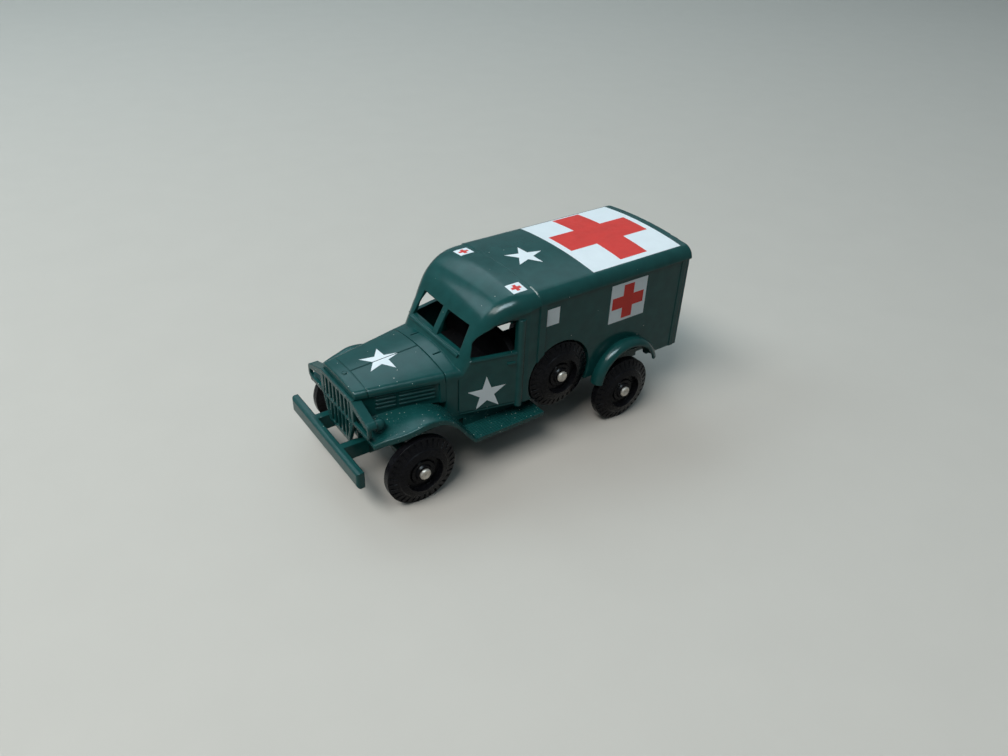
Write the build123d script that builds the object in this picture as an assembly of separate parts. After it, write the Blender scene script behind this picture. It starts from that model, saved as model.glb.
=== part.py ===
"""Small die-cast toy of a military ambulance truck, modelled piece by piece.

Millimetres. X runs forward, Y to the truck's left, Z up. The origin lies on the ground, under
the middle of the whole toy. Every piece is written to its own STEP file in parts/.
"""
from build123d import *
from math import acos, atan, atan2, cos, hypot, pi, radians, sin, sqrt, tan
import os

# Whole toy
length = 99.0                    # bumper face to the roof's rear lip
nose_x = length / 2
tail_x = -length / 2

# Wheels and axles
front_overhang = 15.35           # bumper face to the front axle
wheelbase = 61.5
front_axle_x = nose_x - front_overhang
rear_axle_x = front_axle_x - wheelbase
spare_run = 20.25                # rear axle to the spare wheel's middle
spare_x = rear_axle_x + spare_run
spare_reach = 7.5                # from there to the front of the load box
wheel_radius = 8.95
wheel_width = 4.7                # from the wheel's zero plane to the rim's outer edge
wheel_outer_y = 21.2             # rim's outer edge, from the middle of the toy
tread_inset = 1.6                # tread's outer edge, in from the rim's outer edge
tread_width = 1.75
inner_shoulder = 0.9             # tread's inner edge to the wheel's back, along the axle
ring_radius = 6.5                # where the lugs end on the sidewall
ring_inset = 0.7                 # that ring, in from the rim's outer edge
ring_step = 0.25
lug_count = 32
lug_gap_angle = 3.6              # degrees, width of the notch between two lugs
lug_depth = 0.45
lug_edge = 0.35                  # smooth edge left between the notches and the tread
rim_radius = 4.7
rim_depth = 1.3
rim_slope = 0.3
rim_step_radius = 3.3
rim_step_height = 0.4
hub_radius = 1.9
hub_rise = 0.85                  # hub's face above the rim's floor
pin_radius = 0.9
pin_head_radius = 1.4
pin_head_height = 0.6
pin_head_bevel = 0.25
pin_dimple_radius = 0.45
running_gap = 0.06               # pin in a turning hub, radial
fixed_gap = 0.02                 # pin in a fixed hole, radial
end_play = 0.15                  # along the pin, each side of a hub
wheel_gap = 0.3                  # fixed pieces clear the tyres by this much

# Bumper and its arms
bumper_half_width = 17.75
bumper_top_z = 13.35
bumper_height = 4.3
bumper_thickness = 1.8
bumper_round = 0.8
arm_inner_y = 5.8
arm_width = 1.9
arm_height = 3.9
arm_reach = 8.3                  # bumper face to the arms' rear ends
arm_rear_x = nose_x - arm_reach

# Guard before the radiator
guard_reach = 4.45               # bumper face to the guard's face
guard_front_x = nose_x - guard_reach
guard_depth = 0.85
guard_top_z = 25.6
guard_wing_z = 23.3              # top of the wings at their tips
guard_wing_half = 15.6
guard_wing_floor_z = 19.2
guard_wing_window_drop = 2.2     # top of the guard to the wings' openings
guard_wing_bar = 0.8             # bars round those openings
guard_wing_depth = 2.3
guard_wing_sheet = 1.3
guard_wing_round = 1.3
guard_half_top = 7.9
guard_half_foot = 5.2
guard_foot_z = 12.4
guard_bar = 0.75
guard_bars = 7
guard_rail = 1.0

# Body: one straight taper in plan from the box to the nose
wall = 1.2
flank_y = 17.2
taper = 0.2255                   # loss of half width for each millimetre forward
box_front_x = spare_x + spare_reach
taper_run = 2.7                  # front of the load box to where the taper starts
taper_start_x = box_front_x + taper_run
side_bottom_z = 15.2
belt_z = 26.0
roof_z = 45.0                    # middle of the box roof
crown_radius = 123.0
roof_shoulder = 3.4
drip_drop = 4.0                  # roof's middle to the lip along its side
drip_z = roof_z - drip_drop
drip_proud = 0.35
rear_lip = 0.9                   # roof's rear lip, past the rear wall
rear_wall_x = tail_x + rear_lip
roof_edge_round = 0.8            # roof's rear edge
cab_roof_drop = 0.12             # cab roof lies this far below the box roof
cab_length = 19.4                # front of the load box to the windscreen's foot
screen_foot_x = box_front_x + cab_length
screen_foot_z = 29.0
roof_front_radius = 12.0         # curve from the windscreen into the roof
roof_level_run = 0.91            # cab roof runs level this far past the taper's start
corner_round = 3.8
pillar_reach = 4.45              # load box to the rounded pillar behind the door
pillar_x = box_front_x + pillar_reach
pillar_radius = 1.1
pillar_proud = 0.5
pillar_foot_drop = 0.8
pillar_foot_z = side_bottom_z - pillar_foot_drop
rear_bead_reach = 2.7            # rear wall to the upright bead's front edge
rear_bead_x = rear_wall_x + rear_bead_reach
rear_bead_width = 1.5
rear_bead_proud = 0.2

# Bonnet
bonnet_front_gap = 0.75          # guard's face to the bonnet's front
bonnet_front_x = guard_front_x - bonnet_front_gap
cowl_length = 3.4                # windscreen's foot to the bonnet's rear seam
bonnet_rear_x = screen_foot_x + cowl_length
bonnet_front_z = 27.8
bonnet_rear_z = screen_foot_z
bonnet_crown = 52.0              # radius of its top across the truck
bonnet_round_front = 1.1         # round shoulder at the nose
bonnet_round_rear = 1.6          # and at the windscreen
bonnet_floor_z = 20.0
bonnet_wall = 1.1
bonnet_edge_round = 0.4
bonnet_side_step = 0.45          # louvred sides lie this far in from the belt
louvre_reach = 1.5               # bonnet's rear seam to the inset sides
louvre_rear_x = bonnet_rear_x + louvre_reach
louvre_z = 21.6                  # lowest louvre
louvre_pitch = 1.05
louvre_rows = 4
louvre_height = 0.5
louvre_proud = 0.25
louvre_spans = ((1.0, 9.4), (10.2, 14.8))   # start and end of each bank, from the louvres' rear line
seam_width = 0.2
seam_depth = 0.16
nose_length = 3.2                # front cap of the bonnet, up to its seam
nose_seam_x = bonnet_front_x - nose_length
cap_radius = 0.6                 # small cap on the nose
cap_height = 0.2
cap_reach = 1.7                  # bonnet's front to the cap
catch_length = 2.2               # slots before the windscreen
catch_width = 0.35
catch_depth = 0.3
catch_y = 5.2
catch_reach = 1.3                # windscreen's foot to the slots
catch_x = screen_foot_x + catch_reach
catch_z = bonnet_rear_z - catch_y ** 2 / (2 * bonnet_crown) - catch_depth

# Windows, door lines and rear doors
screen_sill = 2.0                # windscreen's foot to its glass line
screen_low_z = screen_foot_z + screen_sill
screen_top_drop = 8.0            # roof's middle to the top of the windscreen's openings
screen_high_z = roof_z - screen_top_drop
screen_half_low = 10.6
screen_half_high = 10.0
screen_post = 1.0                # half the middle post
sill_lip_drop = 0.8              # glass line to the lip under it
sill_lip_z = screen_low_z - sill_lip_drop
sill_lip_height = 0.55
sill_lip_proud = 0.3
door_front_reach = 0.35
door_front_x = screen_foot_x + door_front_reach
door_rear_x = pillar_x + pillar_radius
door_bottom_edge = 0.4
door_bottom_z = side_bottom_z + door_bottom_edge
door_seam = 0.25
handle_length = 2.0
handle_height = 0.55
handle_proud = 0.4
handle_rise = 1.3                # belt to the handle
handle_z = belt_z + handle_rise
window_rise = 4.05               # belt to the door's window
window_low_z = belt_z + window_rise
window_rear_x = pillar_x + pillar_radius
window_front_run = 2.53          # windscreen's foot to the window's front corner
window_front_x = screen_foot_x - window_front_run
window_ledge = 0.45              # ledge under the window, its height
rear_door_jamb = 3.6             # flank to the rear doors
rear_door_half = flank_y - rear_door_jamb
rear_door_sill = 2.2
rear_door_low_z = side_bottom_z + rear_door_sill
rear_door_header = 5.8
rear_door_high_z = roof_z - rear_door_header
rear_door_gap = 0.05
rear_door_proud = 0.25
rear_door_seam = 0.35            # half the space between the two raised leaves
rear_door_frame = 0.5
rear_window_width = 6.0
rear_window_height = 5.6
rear_window_drop = 3.6           # door's top edge to the window
hinge_height = 1.2
hinge_width = 2.2

# Spare wheel in its pocket, on the left flank
spare_z = 19.5
spare_proud = 1.3                # its rim's outer edge, from the flank
spare_outer_y = flank_y + spare_proud
spare_back_gap = 0.5             # its zero plane to the pocket's back
pocket_gap = 0.65                # round the tyre and behind it

# Base and running boards
base_half_width = 13.3
pan_thickness = 1.3              # floor pan
pan_z = side_bottom_z - pan_thickness
base_rear_gap = 0.3
base_rear_x = rear_wall_x + wall + base_rear_gap
board_front_run = 18.3           # front of the load box to the board's ends
board_rear_run = 1.7
board_front_x = box_front_x + board_front_run
board_rear_x = box_front_x - board_rear_run
board_inner_y = base_half_width
board_outer_y = 19.4
board_bottom_z = 10.45
board_thickness = 1.1
well_front_run = 9.3             # rear axle to the ends of the well above it
well_rear_run = 10.4
well_depth = 1.2
well_front_x = rear_axle_x + well_front_run
well_rear_x = rear_axle_x - well_rear_run
well_z = pan_z - well_depth
rail_y = 6.7
rail_width = 1.6
rail_bottom_z = 9.0
housing_radius = 1.7
diff_radius = 3.3                # round housing in the middle of each axle
diff_half = 1.7                  # half its depth along the truck
diff_cover = 0.8
shaft_radius = 0.8
gearbox_length = 9.0
gearbox_half = 2.6
gearbox_reach = 31.0             # rear axle to the gearbox
gearbox_x = rear_axle_x + gearbox_reach
gearbox_drop = 0.6               # below the rails
member_half = 0.7                # cross members, half their width
spring_half_length = 6.8
spring_out = 1.45                # rail's middle to the spring's
spring_y = rail_y + spring_out
spring_width = 1.7
spring_thickness = 0.9
spring_sag = 2.6

# Fenders
fender_sheet = 0.9
fender_centre_back = 0.25        # axle to the fender's centre line
fender_centre_rise = 3.05
fender_centre_x = front_axle_x - fender_centre_back
fender_centre_z = wheel_radius + fender_centre_rise
fender_rows = (
    # angle, crown radius, crease radius, outer y, flange, inner y
    (29.0, 12.2, 12.0, 17.2, 0.7, 7.4),
    (60.0, 12.3, 9.6, 18.6, 1.6, 8.2),
    (90.0, 12.5, 9.2, 19.6, 1.8, 9.2),
    (122.0, 12.4, 10.1, 19.6, 1.6, 10.4),
    (150.0, 12.6, 11.4, 19.5, 1.2, 11.6),
    (181.0, 15.0, 14.7, 19.4, 0.7, 12.3),
)
rear_arch_back = 1.05            # axle to the arch's centre
rear_arch_rise = 3.95
rear_arch_x = rear_axle_x - rear_arch_back
rear_arch_z = wheel_radius + rear_arch_rise
rear_arch_radius = 10.4
rear_arch_start = 4.0            # degrees above level, front foot
rear_arch_end = 163.0
rear_fender_outer_y = 20.6
rear_fender_crown = 0.55         # middle of the band stands above its edges
rear_fender_lip = 1.3

# Radiator, lamps and seats
radiator_half_foot = 6.2
radiator_half_top = 6.9
radiator_depth = 1.5
slot_width = 0.9
slot_depth = 0.7
lamp_reach = 3.45                # guard's face to the lamp's middle
lamp_x = guard_front_x - lamp_reach
lamp_y = 13.4
lamp_z = 21.9
lamp_radius = 1.9
lamp_length = 2.2
lamp_rim = 0.3
lamp_lens_depth = 0.45           # rim to the lens's edge
seat_reach = 4.0                 # front of the load box to the seat's back
seat_rear_x = box_front_x + seat_reach
seat_back = 1.6                  # thickness of the seat's back
seat_length = 6.6
seat_gap = 0.08
cab_floor = 1.0
seat_height = 7.3
seat_top_z = side_bottom_z + seat_height
seat_back_rise = 5.3             # belt to the back's top
seat_back_z = belt_z + seat_back_rise
seat_side_gap = 2.7
seat_half = flank_y - seat_side_gap
seat_back_slope = 2.8            # fall of the back's top towards the doors
seat_back_flat = 10.5            # half the level stretch of that top


def on_cab_side(x):
    """Half width of the tapered body at a place along it."""
    return flank_y - taper * max(0.0, x - taper_start_x)


def windscreen_rake():
    """Run back for each millimetre up, from the windscreen's foot to a tangent on the roof's round front."""
    run = screen_foot_x - (taper_start_x + roof_level_run)
    rise = screen_foot_z - (roof_z - cab_roof_drop - roof_front_radius)
    return tan(atan2(rise, run) + acos(roof_front_radius / hypot(run, rise)))


screen_rake = windscreen_rake()


def screen_x(z):
    """Place of the windscreen's plane at a height."""
    return screen_foot_x - screen_rake * (z - screen_foot_z)


def outline(start, *steps):
    """Closed face: a step is a point, or a pair of points for an arc through the first."""
    edges, here = [], start
    for step in steps:
        if isinstance(step[0], tuple):
            edges.append(ThreePointArc(here, step[0], step[1]))
            here = step[1]
        else:
            edges.append(Line(here, step))
            here = step
    if here != start:
        edges.append(Line(here, start))
    return Face(Wire(edges))


def along_x(face, x0, x1):
    """Extrude a face drawn in (y, z) from x0 to x1."""
    plane = Plane(origin=(x0, 0, 0), x_dir=(0, 1, 0), z_dir=(1, 0, 0))
    return extrude(plane * face, x1 - x0, dir=(1, 0, 0))


def along_y(face, y0, y1):
    """Extrude a face drawn in (x, z) from y0 to y1."""
    plane = Plane(origin=(0, y1, 0), x_dir=(1, 0, 0), z_dir=(0, -1, 0))
    return extrude(plane * face, y1 - y0, dir=(0, -1, 0))


def along_z(face, z0, z1):
    """Extrude a face drawn in (x, y) from z0 to z1."""
    return extrude(Plane(origin=(0, 0, z0)) * face, z1 - z0, dir=(0, 0, 1))


def block(x0, x1, y0, y1, z0, z1):
    """Box between two corners."""
    size = Box(x1 - x0, y1 - y0, z1 - z0)
    return Pos((x0 + x1) / 2, (y0 + y1) / 2, (z0 + z1) / 2) * size


def rod_x(y, z, radius, x0, x1):
    """Round bar along X."""
    return Pos((x0 + x1) / 2, y, z) * Rot(0, 90, 0) * Cylinder(radius, x1 - x0)


def rod_y(x, z, radius, y0, y1):
    """Round bar along Y."""
    return Pos(x, (y0 + y1) / 2, z) * Rot(90, 0, 0) * Cylinder(radius, y1 - y0)


def mirrored(shape):
    """The same shape on the truck's other side."""
    return mirror(shape, Plane.XZ)


def box_roof(half, top, floor_z, x0, x1, radius, rear_round=0.0):
    """Top of the load box: crowned roof with round shoulders, down to a level."""
    drop = crown_radius - sqrt(crown_radius ** 2 - half ** 2)
    foot_z = floor_z - radius
    section = outline((-half, foot_z), (-half, top - drop), ((0, top), (half, top - drop)),
                      (half, foot_z))
    roof = along_x(section, x0, x1)
    roof = fillet([e for e in roof.edges().filter_by(Axis.X) if e.center().Z > foot_z + 1], radius)
    if rear_round:
        rear_edges = roof.faces().sort_by(Axis.X)[0].edges()
        roof = fillet([e for e in rear_edges if e.center().Z > foot_z + 0.1], rear_round)
    return roof & block(x0, x1, -half, half, floor_z, top + 1)


def body_plan(margin, x0, x1):
    """Plan of the body between two places, widened or narrowed by a margin."""
    places = [x0] + [x for x in (taper_start_x,) if x0 < x < x1] + [x1]
    left = [(x, on_cab_side(x) + margin) for x in places]
    right = [(x, -y) for x, y in reversed(left)]
    return outline(*left, *right)


def side_skin(proud, depth, x0, x1, z0, z1):
    """Strip on both sides of the body, from a margin outside them to a depth inside."""
    outer = along_z(body_plan(proud, x0, x1), z0, z1)
    return outer - along_z(body_plan(-depth, x0 - 1, x1 + 1), z0 - 1, z1 + 1)


def cab_volume(inset, extra=0.0):
    """Cab above the belt: raked windscreen, round roof front, round pillars."""
    top = roof_z - cab_roof_drop - inset
    x0 = box_front_x - 2.0
    back = inset * hypot(1, screen_rake)
    turn = pi / 2 - atan(screen_rake)
    radius = roof_front_radius - inset
    bend_z = top - radius * (1 - cos(turn))
    bend_x = screen_x(bend_z) - back
    half_turn = (bend_x - radius * (sin(turn) - sin(turn / 2)), top - radius * (1 - cos(turn / 2)))
    foot_z = belt_z - 1.0
    side = outline((x0, foot_z), (screen_x(foot_z) - back, foot_z), (bend_x, bend_z),
                   (half_turn, (bend_x - radius * sin(turn), top)), (x0, top))
    plane = Plane(origin=(0, 0, 0), x_dir=(1, 0, 0), z_dir=(0, -1, 0))
    axis = Axis((0, 0, top - crown_radius), (1, 0, 0))
    span = 24.0
    wedge = revolve((plane * side).rotate(axis, -span / 2), axis, span)
    cab = wedge & along_z(body_plan(extra - inset, x0, screen_foot_x + 6), foot_z - 1.5, roof_z + 1)
    edges = []
    for edge in cab.edges():
        centre, size = edge.center(), edge.bounding_box().size
        on_side = abs(abs(centre.Y) - (on_cab_side(centre.X) + extra - inset))
        if centre.Z > belt_z and size.X > 0.5 and on_side < 0.6:
            edges.append(edge)
    cab = fillet(edges, corner_round - inset * 0.5)
    return cab & block(x0, screen_foot_x + 6, -flank_y - 1, flank_y + 1, foot_z, roof_z + 1)


def bonnet_section(x, inset):
    """Cross-section of the bonnet's top: flat crown, round shoulders and upright sides to the belt."""
    share = (x - bonnet_rear_x) / (bonnet_front_x - bonnet_rear_x)
    half = on_cab_side(x) - inset
    middle_z = bonnet_rear_z + (bonnet_front_z - bonnet_rear_z) * share - inset
    crown = bonnet_crown - inset
    turn = bonnet_round_rear + (bonnet_round_front - bonnet_round_rear) * share - inset * 0.5
    centre_y = half - turn
    crown_z = middle_z - crown
    centre_z = crown_z + sqrt((crown - turn) ** 2 - centre_y ** 2)
    lean = atan2(centre_z - crown_z, centre_y)
    edge = (centre_y + turn * cos(lean), centre_z + turn * sin(lean))
    bend = (centre_y + turn * cos(lean / 2), centre_z + turn * sin(lean / 2))
    foot = belt_z - 0.5
    face = outline((-half, foot), (-half, centre_z), ((-bend[0], bend[1]), (-edge[0], edge[1])),
                   ((0, middle_z), edge), (bend, (half, centre_z)), (half, foot))
    return Plane(origin=(x, 0, 0), x_dir=(0, 1, 0), z_dir=(1, 0, 0)) * face


def bonnet_volume(x0, x1, inset):
    """Top of the bonnet between two stations, at the outer face or a wall further in."""
    return loft([bonnet_section(x, inset) for x in (x0, x1)])


def bonnet_seam(x):
    """Fine groove across the top of the bonnet."""
    groove = bonnet_volume(x, x + seam_width, -seam_depth)
    return groove - bonnet_volume(x - 1, x + 1, seam_depth)


def lower_body(x0, x1, inset, z0, z1):
    """Tapered sides below the belt."""
    return along_z(body_plan(-inset, x0, x1), z0, z1)


def drip_points():
    """Lip from the box front down the windscreen's pillar: its turning points in (x, z)."""
    height = drip_z - belt_z
    return ((box_front_x, drip_z + 0.1), (screen_foot_x - 7.4, belt_z + height * 0.817),
            (screen_foot_x - 3.4, belt_z + height * 0.633), (screen_foot_x - 1.7, belt_z + height * 0.45),
            (screen_foot_x + 0.5, belt_z))


def door_window():
    """Outline of the door's window in (x, z), under the lip."""
    height = drip_z - 2.1 - window_low_z
    top = window_low_z + height
    return outline((window_rear_x, window_low_z), (window_rear_x, top - 0.15), (window_rear_x + 2.5, top),
                   ((screen_foot_x - 6.6, window_low_z + height * 0.82),
                    (screen_foot_x - 3.41, window_low_z + height * 0.44)),
                   (window_front_x, window_low_z + 0.8), (window_front_x - 0.3, window_low_z))


def body_outside():
    """Whole outer form of the cab and the load box."""
    outer = box_roof(flank_y + drip_proud, roof_z, drip_z, tail_x, box_front_x, roof_shoulder,
                     roof_edge_round)
    outer += block(rear_wall_x, box_front_x, -flank_y, flank_y, side_bottom_z, drip_z + 0.5)
    outer += cab_volume(0, drip_proud)
    outer += lower_body(box_front_x - 1, bonnet_rear_x, 0, side_bottom_z, belt_z)
    outer += bonnet_volume(screen_foot_x - 2.5, bonnet_rear_x, 0)
    start, bend, turn, pillar, foot = drip_points()
    below_drip = outline((box_front_x, side_bottom_z - 1), start, bend, (turn, pillar), foot,
                         (foot[0], side_bottom_z - 1))
    step = along_y(below_drip, -30, 30)
    step -= along_z(body_plan(0, box_front_x - 1, 30), side_bottom_z - 2, roof_z + 2)
    return outer - step


def body_inside():
    """Hollow of the cab, the load box and the cowl."""
    inner = box_roof(flank_y - wall, roof_z - wall, side_bottom_z - 1, rear_wall_x + wall, box_front_x,
                     roof_shoulder - wall / 2)
    inner += cab_volume(wall, 0)
    inner += lower_body(box_front_x - 2, bonnet_rear_x - wall, wall, side_bottom_z - 1, belt_z + 0.2)
    return inner + bonnet_volume(screen_foot_x - 4, bonnet_rear_x - wall, wall)


def door_lines():
    """Raised pieces and grooves of the cab doors, on both sides."""
    raised = side_skin(handle_proud, 0.3, door_rear_x + 0.4, door_rear_x + 0.4 + handle_length,
                       handle_z - handle_height / 2, handle_z + handle_height / 2)
    raised += side_skin(seam_depth, 0.3, door_rear_x, window_front_x + 0.3, window_low_z - 0.2 - window_ledge,
                        window_low_z - 0.2)
    grooves = side_skin(0.1, door_seam, door_front_x, door_front_x + door_seam, door_bottom_z + 0.6,
                        belt_z - 0.5)
    grooves += side_skin(0.1, door_seam, door_rear_x, door_front_x, door_bottom_z, door_bottom_z + door_seam)
    return raised, grooves


def spare_back_y():
    """Back face of the spare wheel's pocket."""
    return spare_outer_y - wheel_width - spare_back_gap


def make_body_shell():
    """Cab and load box: one hollow casting with its windows cut."""
    outer = body_outside()
    for side in (-1, 1):
        y = side * (on_cab_side(pillar_x) + pillar_proud - pillar_radius)
        pillar_top = belt_z + (drip_z - belt_z) * 0.84
        pillar = Cylinder(pillar_radius, pillar_top - pillar_foot_z)
        pillar = Pos(pillar_x, y, (pillar_top + pillar_foot_z) / 2) * pillar
        outer += pillar
    bead_x0 = rear_bead_x - rear_bead_width
    outer += side_skin(rear_bead_proud, 0.3, bead_x0, rear_bead_x, side_bottom_z, drip_z)
    lip_top = sill_lip_z + sill_lip_height
    lip_x0, lip_x1 = screen_x(sill_lip_z), screen_x(lip_top)
    lip = outline((lip_x0 - 0.4, sill_lip_z), (lip_x0 + sill_lip_proud, sill_lip_z),
                  (lip_x1 + sill_lip_proud, lip_top), (lip_x1 - 0.4, lip_top))
    outer += along_y(lip, -screen_half_low - 0.4, screen_half_low + 0.4)
    raised, grooves = door_lines()
    shell = outer + raised - grooves - body_inside()

    pocket_r = wheel_radius + pocket_gap
    back_y = spare_back_y()
    cup = rod_y(spare_x, spare_z, pocket_r + wall, back_y - wall, flank_y - 0.2)
    shell += cup & block(tail_x, nose_x, 0, flank_y - 0.2, side_bottom_z, roof_z)
    shell -= rod_y(spare_x, spare_z, pocket_r, back_y, flank_y + 5)
    shell -= rod_y(spare_x, spare_z, pin_radius + fixed_gap, back_y - 5, back_y + 1)

    arch = rod_y(rear_arch_x, rear_arch_z, rear_arch_radius - fender_sheet, -30, 30)
    arch += rod_y(rear_axle_x, wheel_radius, wheel_radius + wheel_gap, -30, 30)
    shell -= arch

    screen = outline((screen_post, screen_low_z), (screen_half_low, screen_low_z),
                     (screen_half_high, screen_high_z), (screen_post, screen_high_z))
    pane = along_x(screen, screen_foot_x - 10, screen_foot_x + 4)
    shell -= pane + mirrored(pane)
    shell -= along_y(door_window(), -30, 30)
    for side in (-1, 1):
        y = side * catch_y
        shell -= block(catch_x - catch_length / 2, catch_x + catch_length / 2, y - catch_width / 2,
                       y + catch_width / 2, catch_z, bonnet_rear_z + 0.5)
    return shell - block(rear_wall_x - 1, rear_wall_x + wall + 1, -rear_door_half, rear_door_half,
                         rear_door_low_z, rear_door_high_z)


def make_rear_doors():
    """Pair of rear doors with their windows and hinges, set into the back of the body."""
    z0, z1 = rear_door_low_z + rear_door_gap, rear_door_high_z - rear_door_gap
    half = rear_door_half - rear_door_gap
    panel = block(rear_wall_x, rear_wall_x + wall, -half, half, z0, z1)
    for side in (-1, 1):
        y0, y1 = sorted((side * rear_door_seam, side * (half - rear_door_frame)))
        panel += block(rear_wall_x - rear_door_proud, rear_wall_x, y0, y1, z0 + rear_door_frame,
                       z1 - rear_door_frame)
        middle, top = (y0 + y1) / 2, z1 - rear_window_drop
        panel -= block(rear_wall_x - 1, rear_wall_x + wall + 1, middle - rear_window_width / 2,
                       middle + rear_window_width / 2, top - rear_window_height, top)
        for share in (0.18, 0.5, 0.88):
            z = z0 + (z1 - z0) * share
            h0, h1 = sorted((side * (half - 0.1), side * (half - hinge_width)))
            panel += block(rear_wall_x - 2 * rear_door_proud, rear_wall_x, h0, h1, z - hinge_height / 2,
                           z + hinge_height / 2)
    return panel


def make_bonnet():
    """Bonnet with its louvred sides, the radiator shell's slotted front and its seams."""
    shell = bonnet_volume(bonnet_rear_x, bonnet_front_x, 0)
    front_edges = [e for e in shell.faces().sort_by(Axis.X)[-1].edges() if e.center().Z > belt_z + 0.3]
    shell = fillet(front_edges, bonnet_edge_round)
    shell += along_z(body_plan(0, bonnet_rear_x, louvre_rear_x), bonnet_floor_z, belt_z)
    shell += along_z(body_plan(-bonnet_side_step, louvre_rear_x, bonnet_front_x), bonnet_floor_z, belt_z)
    for row in range(louvre_rows):
        z = louvre_z + row * louvre_pitch
        for start, end in louvre_spans:
            shell += along_z(body_plan(louvre_proud - bonnet_side_step, louvre_rear_x + start,
                                       louvre_rear_x + end), z, z + louvre_height)
    shell -= bonnet_seam(bonnet_rear_x) + bonnet_seam(nose_seam_x)
    middle = block(bonnet_rear_x, nose_seam_x, -seam_width / 2, seam_width / 2, belt_z, roof_z)
    shell -= middle - bonnet_volume(bonnet_rear_x - 1, nose_seam_x + 1, seam_depth)
    inner = bonnet_volume(bonnet_rear_x - 1, bonnet_front_x - bonnet_wall, bonnet_wall)
    core_plan = body_plan(-bonnet_side_step - bonnet_wall, bonnet_rear_x - 1, bonnet_front_x - bonnet_wall)
    core = along_z(core_plan, bonnet_floor_z - 1, belt_z + 0.1)
    shell -= inner + core
    for y in slot_places():
        shell -= block(bonnet_front_x - bonnet_wall - 1, bonnet_front_x + 1, y - slot_width / 2,
                       y + slot_width / 2, bonnet_floor_z + 0.8, guard_top_z - guard_rail)
    return shell + Pos(bonnet_front_x - cap_reach, 0, bonnet_front_z) * Cylinder(cap_radius, 3 * cap_height)


def slot_places():
    """Middles of the gaps between the guard's bars, where the radiator's slots lie."""
    pitch = 2 * guard_half_top / (guard_bars + 1)
    return [pitch * (i + 1 - guard_bars / 2) for i in range(guard_bars - 1)]


def make_wheel(outer_y, centre_x, centre_z):
    """One-piece wheel: lugged tyre, dished rim and hub on a plain bore, outer face towards +Y."""
    w, r = wheel_width, wheel_radius
    bore = pin_radius + running_gap
    floor = w - rim_depth
    step = floor + rim_step_height
    tread_out = w - tread_inset
    tread_in = tread_out - tread_width
    back = tread_in - inner_shoulder
    ring = (ring_radius, w - ring_inset)
    profile = outline((bore, back), (ring_radius, back), (r, tread_in), (r, tread_out), ring,
                      (ring_radius - ring_step, w - ring_inset + ring_step), (rim_radius, w),
                      (rim_radius - rim_slope, floor), (rim_step_radius, floor),
                      (rim_step_radius - rim_slope, step), (hub_radius + rim_slope, step),
                      (hub_radius, floor + hub_rise), (bore, floor + hub_rise))
    wheel = revolve(profile, Axis.Y, 360)
    fall = (tread_out - ring[1]) / (r - ring_radius)
    notch_r0, notch_r1 = ring_radius + 0.15, r - lug_edge
    notch_y0, notch_y1 = (ring[1] + fall * (radius - ring_radius) for radius in (notch_r0, notch_r1))
    section = outline((notch_r0, notch_y0), (notch_r0, notch_y0 + 1), (notch_r1, notch_y0 + 1),
                      (notch_r1, notch_y1 - lug_depth))
    notch = revolve(section, Axis.Y, lug_gap_angle)
    wheel -= [Rot(0, i * 360 / lug_count, 0) * notch for i in range(lug_count)]
    return Pos(centre_x, outer_y - w, centre_z) * wheel


def wheel_back():
    """Back of a wheel above its own zero plane."""
    return wheel_width - tread_inset - tread_width - inner_shoulder


def hub_face(outer_y):
    """Outer end of the hub of a wheel whose rim ends at outer_y."""
    return outer_y - rim_depth + hub_rise


def pin_head(base_y):
    """Spread head of a pin on the +Y side, with a dimple in its face."""
    top = base_y + pin_head_height
    shoulder = top - pin_head_bevel
    profile = outline((0, base_y), (pin_head_radius, base_y), (pin_head_radius, shoulder),
                      (pin_head_radius - pin_head_bevel, top), (pin_dimple_radius, top), (0, shoulder))
    return revolve(profile, Axis.Y, 360)


def make_axle(x):
    """Steel pin from wheel to wheel, its ends headed over."""
    neck = hub_face(wheel_outer_y) + end_play
    head = Pos(x, 0, wheel_radius) * pin_head(neck)
    return rod_y(x, wheel_radius, pin_radius, -neck, neck) + head + mirrored(head)


def make_spare_pin():
    """Headed pin that holds the spare wheel in its pocket."""
    neck = hub_face(spare_outer_y) + end_play
    pin = rod_y(spare_x, spare_z, pin_radius, spare_back_y() - wall, neck)
    return pin + Pos(spare_x, 0, spare_z) * pin_head(neck)


def make_bumper():
    """Bumper bar on the two frame arms."""
    bar = block(nose_x - bumper_thickness, nose_x, -bumper_half_width, bumper_half_width,
                bumper_top_z - bumper_height, bumper_top_z)
    front = bar.faces().sort_by(Axis.X)[-1]
    bar = fillet(front.edges(), bumper_round)
    for side in (-1, 1):
        y0, y1 = sorted((side * arm_inner_y, side * (arm_inner_y + arm_width)))
        bar += block(arm_rear_x, nose_x - bumper_thickness, y0, y1, bumper_top_z - arm_height, bumper_top_z)
    return bar


def guard_outline(rail):
    """Barred middle of the guard in (y, z), or the hole inside its rails."""
    foot = guard_half_foot - rail * 0.8
    top = guard_half_top - rail
    return outline((-foot, guard_foot_z + rail), (foot, guard_foot_z + rail), (top, guard_wing_floor_z),
                   (top, guard_top_z - rail), (-top, guard_top_z - rail), (-top, guard_wing_floor_z))


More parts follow.
